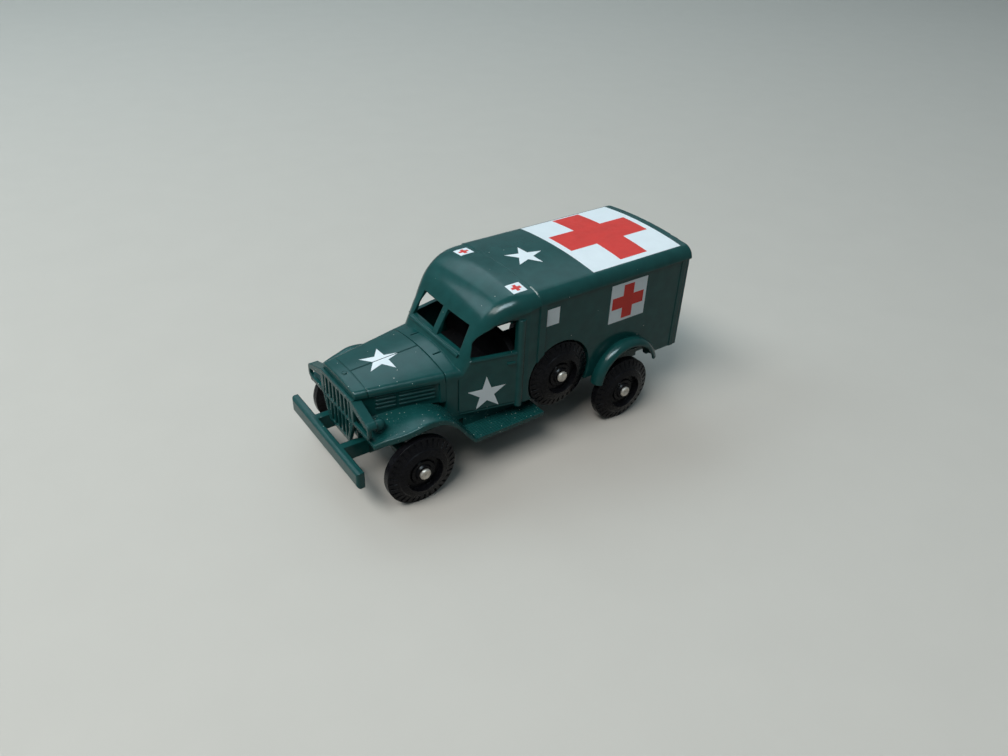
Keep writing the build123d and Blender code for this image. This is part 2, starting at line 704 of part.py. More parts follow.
def make_guard():
    """Guard before the radiator: wide wings to the lamps and a barred lower part."""
    x0, x1 = guard_front_x - guard_depth, guard_front_x
    field = along_x(guard_outline(0), x0, x1)
    frame = field - along_x(guard_outline(guard_rail), x0 - 1, x1 + 1)
    bars = block(x0, x1, -guard_half_top, guard_half_top, guard_wing_floor_z - guard_bar / 2,
                 guard_wing_floor_z + guard_bar / 2)
    pitch = 2 * guard_half_top / (guard_bars + 1)
    for i in range(guard_bars):
        y = -guard_half_top + pitch * (i + 1)
        bars += block(x0, x1, y - guard_bar / 2, y + guard_bar / 2, guard_foot_z, guard_top_z)
    guard = frame + (bars & field)
    joint_y = guard_half_top - 0.5
    tip, tip_z, turn = guard_wing_half, guard_wing_z, guard_wing_round
    wing = outline((joint_y, guard_top_z - guard_wing_sheet), (joint_y, guard_top_z), (tip - turn, tip_z),
                   ((tip - turn * 0.3, tip_z - turn * 0.3), (tip, tip_z - turn)),
                   (tip - turn, tip_z - guard_wing_sheet))
    top = along_x(wing, guard_front_x - guard_wing_depth, guard_front_x)
    cage = outline((joint_y, guard_top_z - 1.0), (joint_y, guard_wing_floor_z),
                   (tip - turn, guard_wing_floor_z), ((tip - turn * 0.3, guard_wing_floor_z + turn * 0.3),
                                                      (tip, guard_wing_floor_z + turn)), (tip, tip_z - turn))
    inner, bar = guard_half_top + guard_bar / 2, guard_wing_bar
    window = outline((inner, guard_top_z - guard_wing_window_drop), (inner, guard_wing_floor_z + bar),
                     (tip - turn, guard_wing_floor_z + bar), (tip - bar, guard_wing_floor_z + turn),
                     (tip - bar, tip_z - turn - 0.2))
    side = top + along_x(cage, x0, x1) - along_x(window, x0 - 1, x1 + 1)
    guard += side + mirrored(side)
    return guard - along_z(body_plan(0.03, bonnet_rear_x, bonnet_front_x), 0, roof_z)


def make_radiator():
    """Lower radiator face behind the guard, with upright slots."""
    x1 = bonnet_front_x - bonnet_wall
    foot = bumper_top_z + 0.1
    face = along_x(outline((-radiator_half_foot, foot), (radiator_half_foot, foot),
                           (radiator_half_top, bonnet_floor_z), (-radiator_half_top, bonnet_floor_z)),
                   x1 - radiator_depth, x1)
    for y in slot_places():
        face -= block(x1 - slot_depth, x1 + 1, y - slot_width / 2, y + slot_width / 2, foot + 0.8,
                      bonnet_floor_z - 0.6)
    return face


def make_headlight():
    """Left headlamp: round bucket with a domed back and a lens inside its rim."""
    r, back, front = lamp_radius, lamp_x - lamp_length / 2, lamp_x + lamp_length / 2
    lens = r - lamp_rim
    profile = outline((back - r, 0), ((back - r * 0.7071, r * 0.7071), (back, r)), (front, r), (front, lens),
                      (front - lamp_lens_depth, lens), (front - lamp_rim / 2, 0))
    lamp = revolve(Pos(0, lamp_y, 0) * (Plane.XY * profile), Axis((0, lamp_y, 0), (1, 0, 0)), 360)
    lamp = Pos(0, 0, lamp_z) * lamp
    return lamp - loft([fender_section(row, True) for row in fender_rows[:3]])


def fender_section(row, filled=False):
    """Cross-section of the front fender in a plane through its centre line: sheet, or filled below."""
    angle, crown, crease, outer, flange, inner = row
    t = fender_sheet
    mid = (inner + outer) / 2 - 0.5
    rise = crown - crease
    face = outline((inner, crown - 0.3), (mid, crown), ((outer - 1.4, crown - rise * 0.35), (outer, crease)),
                   (outer, crease - flange), (outer - t, crease - flange), (outer - t, crease - t * 0.4),
                   ((outer - 1.4 - t * 0.5, crown - rise * 0.35 - t * 0.8), (mid, crown - t)),
                   (inner, crown - 0.3 - t))
    if filled:
        face = outline((inner, crown - 0.27), (mid, crown + 0.03),
                       ((outer - 1.4, crown + 0.03 - rise * 0.35), (outer, crease + 0.03)),
                       (outer, 6.0), (inner, 6.0))
    a = radians(angle)
    out = (cos(a), 0, sin(a))
    normal = (-sin(a), 0, cos(a))
    plane = Plane(origin=(fender_centre_x, 0, fender_centre_z), x_dir=(0, 1, 0), z_dir=normal)
    if (plane.y_dir - Vector(*out)).length > 0.1:
        plane = Plane(origin=(fender_centre_x, 0, fender_centre_z), x_dir=(0, 1, 0),
                      z_dir=(sin(a), 0, -cos(a)))
    return plane * face


def make_front_fender():
    """Left front fender, swept over the wheel down to the running board."""
    fender = loft([fender_section(row) for row in fender_rows])
    fender -= along_z(body_plan(0, box_front_x, louvre_rear_x), side_bottom_z, roof_z)
    fender -= along_z(body_plan(louvre_proud - bonnet_side_step, louvre_rear_x - 1, bonnet_front_x),
                      bonnet_floor_z, belt_z)
    fender -= block(board_rear_x, board_front_x, board_inner_y, board_outer_y + 5, 0,
                    board_bottom_z + board_thickness)
    fender -= block(box_front_x, bonnet_rear_x, 0, base_half_width, 0, side_bottom_z)
    return fender


def make_running_board():
    """Left running board."""
    return block(board_rear_x, board_front_x, board_inner_y, board_outer_y, board_bottom_z,
                 board_bottom_z + board_thickness)


def make_rear_fender():
    """Left rear fender: an arched band with a crowned face and a turned-down lip."""
    r, t, crown = rear_arch_radius, fender_sheet, rear_fender_crown
    y0, y1 = flank_y, rear_fender_outer_y
    mid = (y0 + y1) / 2
    section = outline((r - t, y0), (r, y0), ((r + crown, mid), (r - 0.3, y1 - 0.25)), (r - 0.8, y1),
                      (r - rear_fender_lip, y1), (r - rear_fender_lip, y1 - 0.6),
                      ((r + crown - t, mid), (r - t, y0)))
    band = revolve(section, Axis((0, 0, 0), (0, -1, 0)), rear_arch_end - rear_arch_start)
    return Pos(rear_arch_x, 0, rear_arch_z) * Rot(0, -rear_arch_start, 0) * band


def make_spring(x, y):
    """Leaf spring hung under a rail, as one curved bar on the axle."""
    top = wheel_radius + housing_radius
    end = (spring_half_length, top + spring_sag)
    bar = outline((x - end[0], end[1]), ((x, top), (x + end[0], end[1])),
                  (x + end[0], end[1] + spring_thickness),
                  ((x, top + spring_thickness), (x - end[0], end[1] + spring_thickness)))
    return along_y(bar, y - spring_width / 2, y + spring_width / 2)


def make_base():
    """Base: floor pan, sills under the cab, frame rails, springs, shafts and axle housings."""
    w = base_half_width
    base = block(base_rear_x, bonnet_rear_x, -w, w, pan_z, side_bottom_z)
    sills = block(board_rear_x, board_front_x, -w, w, board_bottom_z, pan_z)
    base += sills - block(board_rear_x + wall, board_front_x - wall, -w + wall, w - wall, 0, pan_z)
    base += block(well_rear_x, well_front_x, -w, w, well_z, pan_z)
    for side in (-1, 1):
        y = side * rail_y
        base += block(base_rear_x + 2, arm_rear_x, y - rail_width / 2, y + rail_width / 2, rail_bottom_z,
                      pan_z + 0.2)
    for x in (base_rear_x + 3.0, gearbox_x - 8.0, gearbox_x + 8.0, front_axle_x - 6.0, arm_rear_x - 1.0):
        base += block(x - member_half, x + member_half, -rail_y, rail_y, rail_bottom_z + gearbox_drop,
                      pan_z + 0.2)
    base += block(gearbox_x - gearbox_length / 2, gearbox_x + gearbox_length / 2, -gearbox_half,
                  gearbox_half, rail_bottom_z - gearbox_drop, pan_z + 0.2)
    base += rod_x(0, wheel_radius + 1.2, shaft_radius, rear_axle_x, front_axle_x)
    for x in (front_axle_x, rear_axle_x):
        end = wheel_outer_y - wheel_width + wheel_back() - end_play
        base += rod_y(x, wheel_radius, housing_radius, -end, end)
        cover = diff_half + diff_cover
        base += rod_x(0, wheel_radius, diff_radius, x - diff_half, x + diff_half)
        base += rod_x(0, wheel_radius, diff_radius * 0.7, x - cover, x + cover)
        base += block(x - 1.4, x + 1.4, -rail_y, rail_y, wheel_radius, pan_z + 0.2)
        for side in (-1, 1):
            base += make_spring(x, side * spring_y)
        base -= rod_y(x, wheel_radius, pin_radius + fixed_gap, -30, 30)
    return base - rod_y(spare_x, spare_z, wheel_radius + pocket_gap, spare_back_y(), 30)


def make_interior():
    """Cab floor and bench seat."""
    z0, z1 = side_bottom_z + 0.02, side_bottom_z + cab_floor
    floor = along_z(body_plan(-wall - seat_gap, seat_rear_x, screen_foot_x), z0, z1)
    cushion = seat_back_flat + 1
    seat = block(seat_rear_x + 1, seat_rear_x + seat_length, -cushion, cushion, z1, seat_top_z)
    back = outline((-seat_half, z1), (seat_half, z1), (seat_half, seat_back_z - seat_back_slope),
                   (seat_back_flat, seat_back_z), (-seat_back_flat, seat_back_z),
                   (-seat_half, seat_back_z - seat_back_slope))
    return floor + seat + along_x(back, seat_rear_x, seat_rear_x + seat_back)


def build():
    """Every piece by its node name."""
    pieces = {
        "body_shell": make_body_shell(),
        "rear_doors": make_rear_doors(),
        "bonnet": make_bonnet(),
        "radiator": make_radiator(),
        "grille_guard": make_guard(),
        "front_bumper": make_bumper(),
        "base": make_base(),
        "interior": make_interior(),
        "axle_front": make_axle(front_axle_x),
        "axle_rear": make_axle(rear_axle_x),
        "spare_pin": make_spare_pin(),
        "spare_wheel": make_wheel(spare_outer_y, spare_x, spare_z),
    }
    paired = {
        "headlight": make_headlight(),
        "front_fender": make_front_fender(),
        "running_board": make_running_board(),
        "rear_fender": make_rear_fender(),
        "wheel_front": make_wheel(wheel_outer_y, front_axle_x, wheel_radius),
        "wheel_rear": make_wheel(wheel_outer_y, rear_axle_x, wheel_radius),
    }
    for name, shape in paired.items():
        pieces[name + "_left"] = shape
        pieces[name + "_right"] = mirrored(shape)
    return pieces


os.makedirs("parts", exist_ok=True)
for node, shape in build().items():
    export_step(shape, f"parts/{node}.step")
    box = shape.bounding_box()
    print(f"{node:22s} solids {len(shape.solids())} volume {shape.volume:9.2f} "
          f"x {box.min.X:7.2f} {box.max.X:7.2f} y {box.min.Y:7.2f} {box.max.Y:7.2f} "
          f"z {box.min.Z:6.2f} {box.max.Z:6.2f}")
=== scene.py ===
"""Looks of the small die-cast toy ambulance: enamel, plastic wheels, markings, camera and light.

Metres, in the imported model's own frame: X runs forward, Y to the truck's left, Z up. Values named
in millimetres are multiplied by MM.
"""
import math

import bmesh
import bpy
from mathutils import Matrix, Vector
from mathutils.bvhtree import BVHTree


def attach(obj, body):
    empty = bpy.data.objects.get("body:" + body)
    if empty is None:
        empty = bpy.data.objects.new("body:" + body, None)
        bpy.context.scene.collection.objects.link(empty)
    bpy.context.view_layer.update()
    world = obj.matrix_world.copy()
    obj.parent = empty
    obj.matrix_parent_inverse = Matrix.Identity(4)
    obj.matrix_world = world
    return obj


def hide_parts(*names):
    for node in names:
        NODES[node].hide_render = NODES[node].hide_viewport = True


MM = 0.001
BODY = "body"
SIDES = (("left", 1), ("right", -1))     # name, direction along Y

# Photograph's frame and camera
IMAGE_WIDTH_PX = 1008
FOCAL_PX = 824.374
SENSOR_MM = 36.0
CAMERA_MM = (106.621, 146.252, 133.517)
CAMERA_AZIMUTH = 233.181         # degrees, direction of view from above
CAMERA_DROP = 34.051             # degrees below level
CAMERA_ROLL = -2.548
CAMERA_NEAR = 0.002
CAMERA_FAR = 20.0

# Colours, linear
ENAMEL_GREEN = (0.0045, 0.048, 0.046)
DUST = (0.46, 0.52, 0.48)
WHITE_PRINT = (0.68, 0.75, 0.78)
RED_PRINT = (0.60, 0.030, 0.020)
WHEEL_BLACK = (0.0035, 0.0035, 0.0045)
INSIDE_BLACK = (0.003, 0.003, 0.0035)
MOULD_MARK = (0.10, 0.10, 0.10)          # pale specks in the plastic
PIN_STEEL = (0.56, 0.52, 0.46)
# light strip on the roof's seam: partly worn paint, partly a painted highlight over the shade of the roof
# step
SEAM_WEAR_AND_HIGHLIGHT = (0.40, 0.46, 0.44)
SKY_TINT = (0.72, 0.90, 1.0)
LAMP_WARM = (1.0, 0.98, 0.96)
FLOOR_PALE = (0.50, 0.475, 0.43)         # as the camera and reflections see it
FLOOR_BOUNCE = (0.13, 0.115, 0.09)       # as it lights the toy from below
BACKDROP_LOW = (0.27, 0.30, 0.30)        # far background at the horizon, for camera and reflections
BACKDROP_HIGH = (0.28, 0.34, 0.38)       # and higher up

# Depth of relief and radius of rounded edges in the finishes, metres
PEEL_DEPTH = 0.000001            # smooth enamel
GRAIN_DEPTH = 0.000007           # coarse enamel
TREAD_DEPTH = 0.00007            # studs on the running boards
PLASTIC_DEPTH = 0.000003
STEEL_DEPTH = 0.000004
PRINT_DEPTH = 0.0000015
BODY_EDGE = 0.00026
FRONT_EDGE = 0.00042             # bonnet, bumper, guard and lamps
SMALL_EDGE = 0.00012             # wheels, interior and pins
EDGE_SAMPLES = 6
SPECK_CORE = 0.6                 # share of a speck's radius that has the full colour
MASK_STEP = 0.001                # a ramp this narrow is a hard step
TREAD_PITCH = 0.75               # millimetres, studs on the running boards

# Printed markings, millimetres
PRINT_STEP = 0.8                 # longest edge inside a printed area
PRINT_LIFT = 0.025
PRINT_THICK = 0.02
PRINT_SHARP = 40                 # degrees, edges that stay sharp
STAR_POINTS = 5
STAR_WAIST = 0.382               # inner radius of a star, as a share of its outer one
BONNET_SEAM_HALF = 0.13          # the bonnet's star is parted along the seam
RAY_START = 60.0                 # how far out a search for the body's surface starts

# Front fender's sheet, millimetres
FENDER_SHEET = 0.9
FENDER_ROUND = 0.35              # its outer edge
FENDER_ROUND_TURNS = (60, 30, 0)     # degrees, points of that round
FENDER_STEPS = 6                 # sections from one row to the next
FENDER_ACROSS = 10
FENDER_SEAT = 1.6                # the body's side is looked for this near the row's inner edge
FENDER_PROBE_DROP = 0.4          # and this far under it
FENDER_SINK = 0.02               # how far the sheet reaches into the side
FENDER_ROWS = (
    # x, inner y, inner z, outer y, edge z, flange, crown
    (44.3, 7.5, 18.5, 16.6, 18.35, 1.0, 0.0),
    (42.0, 7.9, 19.5, 17.6, 19.5, 1.45, -0.25),
    (39.0, 8.4, 20.2, 18.6, 20.15, 1.6, -0.2),
    (36.0, 8.9, 20.6, 19.2, 20.7, 1.6, 0.0),
    (33.0, 9.35, 20.9, 19.5, 21.4, 1.65, 0.15),
    (30.4, 9.85, 20.9, 19.5, 21.4, 1.5, 0.3),
    (27.8, 10.3, 20.4, 19.5, 20.8, 1.4, 0.35),
    (25.4, 10.95, 19.4, 19.5, 19.15, 1.2, 0.4),
    (23.4, 11.5, 18.0, 19.45, 17.05, 1.25, 0.35),
    (21.4, 11.9, 15.6, 19.45, 14.4, 1.25, 0.25),
    (19.6, 12.2, 12.9, 19.4, 12.1, 1.15, 0.1),
    (18.72, 12.3, 11.6, 19.4, 11.55, 1.1, 0.0),
)
PIECE_SHARP = 34                 # degrees, edges that stay sharp on fenders and lamps

# Headlamps, millimetres
LAMP_CENTRE = (41.35, 13.45, 21.25)
LAMP_RADIUS = 1.45
LAMP_FRONT = 1.15                # centre of the domed back to the rim
LAMP_RIM = 0.28
LAMP_BEVEL = 0.1
LAMP_LENS_DEPTH = 0.3
LAMP_SIDES = 40
LAMP_DOME_STEP = 10              # degrees
LAMP_FOOT = (
    # height over the bucket's lowest point, radius
    (-0.35, 0.0),
    (-0.35, 0.9),
    (-0.1, 0.81),
    (0.1, 0.6),
    (0.4, 0.6),
    (0.4, 0.0),
)

# Studio, metres and watts
AIM = Vector((0.0, 0.0, 0.02))       # where the lamps point
LAMPS = (
    # name, place, size, watts, tint, shows only in the paint's shine
    ("overhead_box", (0.46, 0.11, 0.72), (0.60, 0.26), 5.6, LAMP_WARM, False),
    ("window_box", (-0.12, -0.80, 0.86), (0.7, 0.5), 2.6, SKY_TINT, False),
    ("front_box", (0.50, -0.50, 0.60), (0.4, 0.4), 2.0, SKY_TINT, False),
    ("rear_box", (-0.60, -0.50, 0.80), (0.6, 0.5), 0.9, SKY_TINT, False),
    ("shine_box", (0.22, 0.34, 0.78), (0.45, 0.32), 9.0, SKY_TINT, True),
)
SKY_SHARES = (0.05, 0.45)        # diffuse light from low and from high in the sky, of SKY_TINT
SKY_RISE = (0.25, 0.9)           # between these heights of a direction's unit vector
BACKDROP_RISE = (0.0, 0.30)
FLOOR_HALF = 1.2

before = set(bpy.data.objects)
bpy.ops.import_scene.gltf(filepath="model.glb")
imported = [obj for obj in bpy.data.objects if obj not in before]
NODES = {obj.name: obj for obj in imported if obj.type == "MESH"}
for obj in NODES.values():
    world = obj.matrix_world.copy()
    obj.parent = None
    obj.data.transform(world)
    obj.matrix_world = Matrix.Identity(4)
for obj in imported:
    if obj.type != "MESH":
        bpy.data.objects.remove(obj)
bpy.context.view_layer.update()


def grey(value):
    return (value, value, value)


def scaled(colour, gain, lift=0.0):
    """Colour made lighter or darker."""
    return tuple(min(1.0, c * gain + lift) for c in colour)


def new_material(name):
    """Empty node material with its shader and links."""
    material = bpy.data.materials.new(name)
    material.use_nodes = True
    tree = material.node_tree
    return material, tree, tree.nodes["Principled BSDF"]


def texture_place(tree):
    """Object coordinates, which stay with the piece."""
    return tree.nodes.new("ShaderNodeTexCoord").outputs["Object"]


def noise(tree, scale, detail=3.0):
    """Noise over the object's own space."""
    node = tree.nodes.new("ShaderNodeTexNoise")
    node.inputs["Scale"].default_value = scale
    node.inputs["Detail"].default_value = detail
    tree.links.new(texture_place(tree), node.inputs["Vector"])
    return node.outputs["Fac"]


def ramp(tree, source, low, high, first, last):
    """Colour ramp between two stops."""
    node = tree.nodes.new("ShaderNodeValToRGB")
    node.color_ramp.elements[0].position = low
    node.color_ramp.elements[1].position = high
    node.color_ramp.elements[0].color = (*first, 1)
    node.color_ramp.elements[1].color = (*last, 1)
    tree.links.new(source, node.inputs["Fac"])
    return node.outputs["Color"]


def specks(tree, scale, share, size):
    """Small round specks: a mask that is 1 on a share of the cells of a random pattern."""
    cells = tree.nodes.new("ShaderNodeTexVoronoi")
    cells.inputs["Scale"].default_value = scale
    tree.links.new(texture_place(tree), cells.inputs["Vector"])
    near = ramp(tree, cells.outputs["Distance"], size * SPECK_CORE, size, grey(1), grey(0))
    split = tree.nodes.new("ShaderNodeSeparateColor")
    tree.links.new(cells.outputs["Color"], split.inputs["Color"])
    chosen = ramp(tree, split.outputs["Red"], share, share + MASK_STEP, grey(1), grey(0))
    both = tree.nodes.new("ShaderNodeMix")
    both.data_type = "RGBA"
    both.blend_type = "MULTIPLY"
    both.inputs["Factor"].default_value = 1.0
    tree.links.new(near, both.inputs["A"])
    tree.links.new(chosen, both.inputs["B"])
    return both.outputs["Result"]


def mixed(tree, factor, first, second):
    """Blend of two colours by a mask; either may be a socket or a plain colour."""
    node = tree.nodes.new("ShaderNodeMix")
    node.data_type = "RGBA"
    tree.links.new(factor, node.inputs["Factor"])
    for value, socket in ((first, node.inputs["A"]), (second, node.inputs["B"])):
        if isinstance(value, tuple):
            socket.default_value = (*value, 1)
        else:
            tree.links.new(value, socket)
    return node.outputs["Result"]


def uneven_roughness(tree, shader, scale, least, most, low=0.3, high=0.7):
    """Roughness that varies a little over the surface."""
    rough = ramp(tree, noise(tree, scale), low, high, grey(least), grey(most))
    tree.links.new(rough, shader.inputs["Roughness"])


def relief(tree, shader, source, distance, edge=0.0):
    """Fine relief from a texture, over edges rounded by a small radius."""
    node = tree.nodes.new("ShaderNodeBump")
    node.inputs["Distance"].default_value = distance
    tree.links.new(source, node.inputs["Height"])
    if edge:
        bevel = tree.nodes.new("ShaderNodeBevel")
        bevel.samples = EDGE_SAMPLES
        bevel.inputs["Radius"].default_value = edge
        tree.links.new(bevel.outputs["Normal"], node.inputs["Normal"])
    tree.links.new(node.outputs["Normal"], shader.inputs["Normal"])


def studs(tree):
    """Height of small raised studs in a square grid, seen from above."""
    cells = tree.nodes.new("ShaderNodeTexVoronoi")
    cells.voronoi_dimensions = "2D"
    cells.inputs["Scale"].default_value = 1 / (TREAD_PITCH * MM)
    cells.inputs["Randomness"].default_value = 0.0
    tree.links.new(texture_place(tree), cells.inputs["Vector"])
    return ramp(tree, cells.outputs["Distance"], low=0.16, high=0.40, first=grey(1), last=grey(0))


def enamel(name, roughness=0.20, dust=0.04, depth=PEEL_DEPTH, edge=BODY_EDGE, tread=False):
    """Sprayed enamel: faint mottling, slight orange peel or studs, and specks of dust."""
    material, tree, shader = new_material(name)
    light = scaled(ENAMEL_GREEN, gain=1.22, lift=0.001)
    coat = ramp(tree, noise(tree, scale=300.0), low=0.35, high=0.7, first=ENAMEL_GREEN, last=light)
    dusty = mixed(tree, specks(tree, scale=1000.0, share=dust, size=0.12), coat, DUST)
    tree.links.new(dusty, shader.inputs["Base Color"])
    uneven_roughness(tree, shader, scale=700.0, least=roughness - 0.025, most=roughness + 0.045, high=0.75)
    shader.inputs["Specular IOR Level"].default_value = 0.22
    surface = studs(tree) if tread else noise(tree, scale=1800.0, detail=1.5)
    relief(tree, shader, surface, depth, edge)
    return material


def plastic(name, colour, roughness):
    """Moulded plastic with a soft grain."""
    material, tree, shader = new_material(name)
    light = scaled(colour, gain=1.5, lift=0.001)
    base = ramp(tree, noise(tree, scale=500.0), low=0.3, high=0.7, first=colour, last=light)
    marked = mixed(tree, specks(tree, scale=1100.0, share=0.06, size=0.09), base, MOULD_MARK)
    tree.links.new(marked, shader.inputs["Base Color"])
    uneven_roughness(tree, shader, scale=1200.0, least=roughness - 0.04, most=roughness + 0.06)
    shader.inputs["Specular IOR Level"].default_value = 0.09
    relief(tree, shader, noise(tree, scale=2500.0, detail=1.0), PLASTIC_DEPTH, SMALL_EDGE)
    return material


def steel(name, colour):
    """Pressed pin head, dull and slightly stained."""
    material, tree, shader = new_material(name)
    stain = scaled(colour, gain=0.6)
    stained = ramp(tree, noise(tree, scale=1100.0), low=0.35, high=0.7, first=stain, last=colour)
    tree.links.new(stained, shader.inputs["Base Color"])
    uneven_roughness(tree, shader, scale=1500.0, least=0.34, most=0.52)
    shader.inputs["Metallic"].default_value = 0.75
    relief(tree, shader, noise(tree, scale=2600.0, detail=1.0), STEEL_DEPTH, SMALL_EDGE)
    return material


def print_paint(name, colour, shade):
    """Pad-printed paint: thin, even and slightly rough, with small pinholes."""
    material, tree, shader = new_material(name)
    dark = scaled(colour, gain=shade)
    even = ramp(tree, noise(tree, scale=260.0), low=0.3, high=0.7, first=dark, last=colour)
    holes = specks(tree, scale=700.0, share=0.03, size=0.08)
    tree.links.new(mixed(tree, holes, even, scaled(colour, gain=0.45)), shader.inputs["Base Color"])
    uneven_roughness(tree, shader, scale=900.0, least=0.34, most=0.44)
    shader.inputs["Specular IOR Level"].default_value = 0.25
    relief(tree, shader, noise(tree, scale=2200.0, detail=1.0), PRINT_DEPTH)
    return material


def make_finishes():
    """Finishes of the pieces that aren't plain enamel, by the start of their names."""
    grained = enamel("enamel_grained", roughness=0.23, dust=0.08, depth=GRAIN_DEPTH, edge=FRONT_EDGE)
    dusty = enamel("enamel_dusty", roughness=0.25, dust=0.60, depth=GRAIN_DEPTH)
    treaded = enamel("enamel_tread", roughness=0.25, dust=0.60, depth=TREAD_DEPTH, tread=True)
    black = plastic("wheel_plastic", WHEEL_BLACK, roughness=0.27)
    inside = plastic("interior_plastic", INSIDE_BLACK, roughness=0.55)
    pin = steel("pin_steel", PIN_STEEL)
    return {
        "bonnet": grained, "front_bumper": grained, "grille_guard": grained, "headlight": grained,
        "radiator": grained,
        "base": dusty, "front_fender": dusty, "running_board": treaded,
        "wheel": black, "spare_wheel": black, "interior": inside,
        "axle": pin, "spare_pin": pin,
    }


def paint_nodes(finishes):
    """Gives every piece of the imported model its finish."""
    green = enamel("enamel_green")
    for name, node in NODES.items():
        fitting = [finish for start, finish in finishes.items() if name.startswith(start)]
        node.data.materials.clear()
        node.data.materials.append(fitting[0] if fitting else green)


def surface_of(*names):
    """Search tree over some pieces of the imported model."""
    vertices, faces = [], []
    for name in names:
        mesh, start = NODES[name].data, len(vertices)
        vertices += [v.co.copy() for v in mesh.vertices]
        faces += [[start + i for i in polygon.vertices] for polygon in mesh.polygons]
    return BVHTree.FromPolygons(vertices, faces)


PRINT_GROUND = surface_of("body_shell", "bonnet")
FENDER_WALLS = surface_of("body_shell", "bonnet", "base")


def add_piece(name, mesh, paint, stands_for):
    """Turns a closed mesh in millimetres into a piece of the body."""
    bmesh.ops.scale(mesh, vec=(MM, MM, MM), verts=mesh.verts[:])
    bmesh.ops.recalc_face_normals(mesh, faces=mesh.faces[:])
    data = bpy.data.meshes.new(name)
    mesh.to_mesh(data)
    mesh.free()
    data.shade_smooth()
    data.set_sharp_from_angle(angle=math.radians(PIECE_SHARP))
    data.materials.append(paint)
    piece = bpy.data.objects.new(name, data)
    bpy.context.scene.collection.objects.link(piece)
    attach(piece, BODY)
    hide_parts(stands_for)


def smooth_rows(rows, steps):
    """Rows put between the given ones, on a Catmull-Rom curve through each column."""
    ends = [rows[0], *rows, rows[-1]]
    result = []
    for before, first, last, after in zip(ends, ends[1:], ends[2:], ends[3:]):
        for i in range(steps):
            t = i / steps
            row = []
            for p, q, r, s in zip(before, first, last, after):
                bend, twist = 2 * p - 5 * q + 4 * r - s, 3 * (q - r) + s - p
                row.append(q + 0.5 * t * (r - p + t * (bend + t * twist)))
            result.append(row)
    return result + [list(rows[-1])]


def fender_section(row):
    """Closed outline of the fender's sheet across the truck, as (y, z)."""
    x, inner_y, inner_z, outer_y, edge_z, flange, crown = row
    outside = Vector((x, RAY_START, inner_z - FENDER_PROBE_DROP)) * MM
    side = FENDER_WALLS.ray_cast(outside, Vector((0, -1, 0)))[0]
    if side and abs(side.y / MM - inner_y) < FENDER_SEAT:
        inner_y = side.y / MM - FENDER_SINK
    width = outer_y - FENDER_ROUND - inner_y

    def height(y):
        share = (y - inner_y) / width
        return inner_z + (edge_z - inner_z) * share + 4 * crown * share * (1 - share)

    shares = [i / FENDER_ACROSS for i in range(FENDER_ACROSS + 1)]
    top = [(inner_y + width * share, height(inner_y + width * share)) for share in shares]
    turn = [(outer_y - FENDER_ROUND * (1 - math.cos(a)), edge_z - FENDER_ROUND * (1 - math.sin(a)))
            for a in map(math.radians, FENDER_ROUND_TURNS)]
    foot = [(outer_y, edge_z - flange), (outer_y - FENDER_SHEET, edge_z - flange)]
    reach = outer_y - FENDER_SHEET - inner_y
    under = [(inner_y + reach * share, height(inner_y + reach * share) - FENDER_SHEET)
             for share in reversed(shares)]
    return top + turn + foot + under


def make_front_fender(side, sign, paint):
    """Front fender: a broad flat sheet with a turned-down outer edge, swept down to the running board."""
    mesh = bmesh.new()
    rows = smooth_rows(FENDER_ROWS, FENDER_STEPS)
    loops = [[mesh.verts.new((row[0], y * sign, z)) for y, z in fender_section(row)] for row in rows]
    for first, second in zip(loops, loops[1:]):
        for i in range(len(first)):
            mesh.faces.new((first[i - 1], first[i], second[i], second[i - 1]))
    ends = [mesh.faces.new(loops[0]), mesh.faces.new(loops[-1])]
    mesh.normal_update()
    bmesh.ops.triangulate(mesh, faces=ends, ngon_method="EAR_CLIP")
    add_piece("fender_sheet_" + side, mesh, paint, "front_fender_" + side)


def turned(mesh, profile, place, axis):
    """Turned form added to a mesh: profile of (along, radius) from pole to pole, about +X or +Z."""
    def point(along, radius, angle):
        a, b = radius * math.cos(angle), radius * math.sin(angle)
        return place + (Vector((along, a, b)) if axis == "X" else Vector((a, b, along)))

    turns = [2 * math.pi * i / LAMP_SIDES for i in range(LAMP_SIDES)]
    rings = [[mesh.verts.new(point(along, radius, angle)) for angle in turns]
             for along, radius in profile[1:-1]]
    for first, second in zip(rings, rings[1:]):
        for i in range(LAMP_SIDES):
            mesh.faces.new((first[i - 1], first[i], second[i], second[i - 1]))
    for ring, (along, _) in ((rings[0], profile[0]), (rings[-1], profile[-1])):
        pole = mesh.verts.new(point(along, 0, 0))
        for i in range(LAMP_SIDES):
            mesh.faces.new((ring[i - 1], ring[i], pole))


def bucket_profile():
    """Headlamp's bucket from the pole of its domed back to the middle of its lens."""
    r, front, lens = LAMP_RADIUS, LAMP_FRONT, LAMP_RADIUS - LAMP_RIM
    dome = [(-r * math.cos(a), r * math.sin(a))
            for a in map(math.radians, range(0, 91, LAMP_DOME_STEP))]
    rim = [(front - LAMP_BEVEL, r), (front, r - LAMP_BEVEL), (front, lens)]
    back = front - LAMP_LENS_DEPTH
    glass = [(back, lens), (front - LAMP_LENS_DEPTH / 2, lens / 2), (front - LAMP_BEVEL, 0)]
    return dome + rim + glass


def make_headlamp(side, sign, paint):
    """Headlamp: round bucket with a domed back and a lens inside its rim, on a short foot."""
    x, y, z = LAMP_CENTRE
    place = Vector((x, y * sign, z))
    mesh = bmesh.new()
    turned(mesh, bucket_profile(), place, "X")
    turned(mesh, [(height - LAMP_RADIUS, radius) for height, radius in LAMP_FOOT], place, "Z")
    add_piece("lamp_" + side, mesh, paint, "headlight_" + side)


